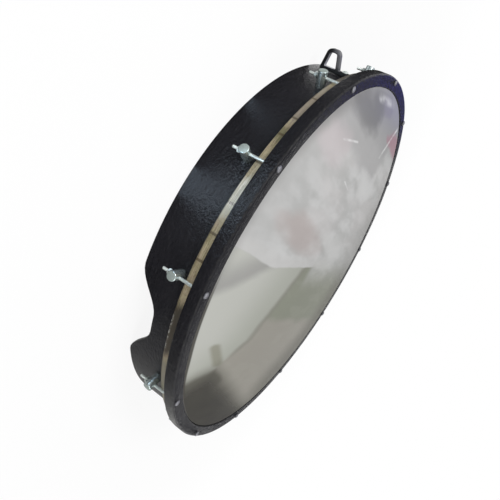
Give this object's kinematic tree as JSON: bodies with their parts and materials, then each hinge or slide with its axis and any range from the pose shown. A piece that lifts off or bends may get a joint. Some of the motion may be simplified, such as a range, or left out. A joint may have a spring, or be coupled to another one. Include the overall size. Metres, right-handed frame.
{
  "type": "tunable frame drum",
  "caption": "Wide shallow frame drum: black bent shell with a hand grip cut in its rear rim, film head, and a counter hoop drawn down by tension bolts, posts and nuts.",
  "frame": {"origin": "on the drum's axis, in the plane of the rear rim", "axes": "+Z along the drum's axis towards the played head; the hand grip is centred 300 degrees round from +X, counted from +X towards +Y"},
  "size_m": [0.4872, 0.4872, 0.0771],
  "materials": {
    "black_paint": "glossy black lacquer on bent wood",
    "head_film": "pale translucent film, glossy",
    "bare_wood": "clear-finished pale wood",
    "bright_steel": "bright plated",
    "black_strap": "smooth black"
  },
  "bodies": {
    "frame": {"shell": "black_paint", "head": "head_film", "head_collar": "head_film", "lug_post_01": "bright_steel", "lug_post_02": "bright_steel", "lug_post_03": "bright_steel", "lug_post_04": "bright_steel", "lug_post_05": "bright_steel", "lug_post_06": "bright_steel", "lug_post_07": "bright_steel", "lug_post_08": "bright_steel", "lug_post_09": "bright_steel", "lug_post_10": "bright_steel", "lug_post_11": "bright_steel", "lug_post_12": "bright_steel", "lug_screw_01": "bright_steel", "lug_screw_02": "bright_steel", "lug_screw_03": "bright_steel", "lug_screw_04": "bright_steel", "lug_screw_05": "bright_steel", "lug_screw_06": "bright_steel", "lug_screw_07": "bright_steel", "lug_screw_08": "bright_steel", "lug_screw_09": "bright_steel", "lug_screw_10": "bright_steel", "lug_screw_11": "bright_steel", "lug_screw_12": "bright_steel", "hanging_loop": "black_strap", "loop_screw": "bright_steel", "loop_nut": "bright_steel"},
    "tension_hoop": {"counter_hoop": "black_paint", "flesh_hoop": "bare_wood", "tension_bolt_01": "bright_steel", "tension_bolt_02": "bright_steel", "tension_bolt_03": "bright_steel", "tension_bolt_04": "bright_steel", "tension_bolt_05": "bright_steel", "tension_bolt_06": "bright_steel", "tension_bolt_07": "bright_steel", "tension_bolt_08": "bright_steel", "tension_bolt_09": "bright_steel", "tension_bolt_10": "bright_steel", "tension_bolt_11": "bright_steel", "tension_bolt_12": "bright_steel"},
    "nut_01": {"tension_nut_01": "bright_steel"},
    "nut_02": {"tension_nut_02": "bright_steel"},
    "nut_03": {"tension_nut_03": "bright_steel"},
    "nut_04": {"tension_nut_04": "bright_steel"},
    "nut_05": {"tension_nut_05": "bright_steel"},
    "nut_06": {"tension_nut_06": "bright_steel"},
    "nut_07": {"tension_nut_07": "bright_steel"},
    "nut_08": {"tension_nut_08": "bright_steel"},
    "nut_09": {"tension_nut_09": "bright_steel"},
    "nut_10": {"tension_nut_10": "bright_steel"},
    "nut_11": {"tension_nut_11": "bright_steel"},
    "nut_12": {"tension_nut_12": "bright_steel"}
  },
  "joints": [
    {"name": "hoop_travel", "type": "slide", "parent": "frame", "child": "tension_hoop", "axis": [0, 0, 1], "range_m": [-0.003, 0.003]},
    {"name": "nut_01_turn", "type": "hinge", "parent": "frame", "child": "nut_01", "pos_m": [0.17322, -0.16496, 0.0346], "axis": [0, 0, 1], "range_deg": [-2162, 2162]},
    {"name": "nut_02_turn", "type": "hinge", "parent": "frame", "child": "nut_02", "pos_m": [0.23224, -0.05728, 0.0346], "axis": [0, 0, 1], "range_deg": [-2162, 2162]},
    {"name": "nut_03_turn", "type": "hinge", "parent": "frame", "child": "nut_03", "pos_m": [0.23006, 0.06549, 0.0346], "axis": [0, 0, 1], "range_deg": [-2162, 2162]},
    {"name": "nut_04_turn", "type": "hinge", "parent": "frame", "child": "nut_04", "pos_m": [0.16725, 0.17101, 0.0346], "axis": [0, 0, 1], "range_deg": [-2162, 2162]},
    {"name": "nut_05_turn", "type": "hinge", "parent": "frame", "child": "nut_05", "pos_m": [0.06037, 0.23146, 0.0346], "axis": [0, 0, 1], "range_deg": [-2162, 2162]},
    {"name": "nut_06_turn", "type": "hinge", "parent": "frame", "child": "nut_06", "pos_m": [-0.06242, 0.23091, 0.0346], "axis": [0, 0, 1], "range_deg": [-2162, 2162]},
    {"name": "nut_07_turn", "type": "hinge", "parent": "frame", "child": "nut_07", "pos_m": [-0.16876, 0.16951, 0.0346], "axis": [0, 0, 1], "range_deg": [-2162, 2162]},
    {"name": "nut_08_turn", "type": "hinge", "parent": "frame", "child": "nut_08", "pos_m": [-0.23063, 0.06345, 0.0346], "axis": [0, 0, 1], "range_deg": [-2162, 2162]},
    {"name": "nut_09_turn", "type": "hinge", "parent": "frame", "child": "nut_09", "pos_m": [-0.23172, -0.05934, 0.0346], "axis": [0, 0, 1], "range_deg": [-2162, 2162]},
    {"name": "nut_10_turn", "type": "hinge", "parent": "frame", "child": "nut_10", "pos_m": [-0.17175, -0.16649, 0.0346], "axis": [0, 0, 1], "range_deg": [-2162, 2162]},
    {"name": "nut_11_turn", "type": "hinge", "parent": "frame", "child": "nut_11", "pos_m": [-0.06652, -0.22977, 0.0346], "axis": [0, 0, 1], "range_deg": [-2162, 2162]},
    {"name": "nut_12_turn", "type": "hinge", "parent": "frame", "child": "nut_12", "pos_m": [0.05625, -0.23249, 0.0346], "axis": [0, 0, 1], "range_deg": [-2162, 2162]}
  ],
  "couplings": [
    {"joint": "nut_01_turn", "follows": "hoop_travel", "rad_per_m": -12566},
    {"joint": "nut_02_turn", "follows": "hoop_travel", "rad_per_m": -12566},
    {"joint": "nut_03_turn", "follows": "hoop_travel", "rad_per_m": -12566},
    {"joint": "nut_04_turn", "follows": "hoop_travel", "rad_per_m": -12566},
    {"joint": "nut_05_turn", "follows": "hoop_travel", "rad_per_m": -12566},
    {"joint": "nut_06_turn", "follows": "hoop_travel", "rad_per_m": -12566},
    {"joint": "nut_07_turn", "follows": "hoop_travel", "rad_per_m": -12566},
    {"joint": "nut_08_turn", "follows": "hoop_travel", "rad_per_m": -12566},
    {"joint": "nut_09_turn", "follows": "hoop_travel", "rad_per_m": -12566},
    {"joint": "nut_10_turn", "follows": "hoop_travel", "rad_per_m": -12566},
    {"joint": "nut_11_turn", "follows": "hoop_travel", "rad_per_m": -12566},
    {"joint": "nut_12_turn", "follows": "hoop_travel", "rad_per_m": -12566}
  ]
}
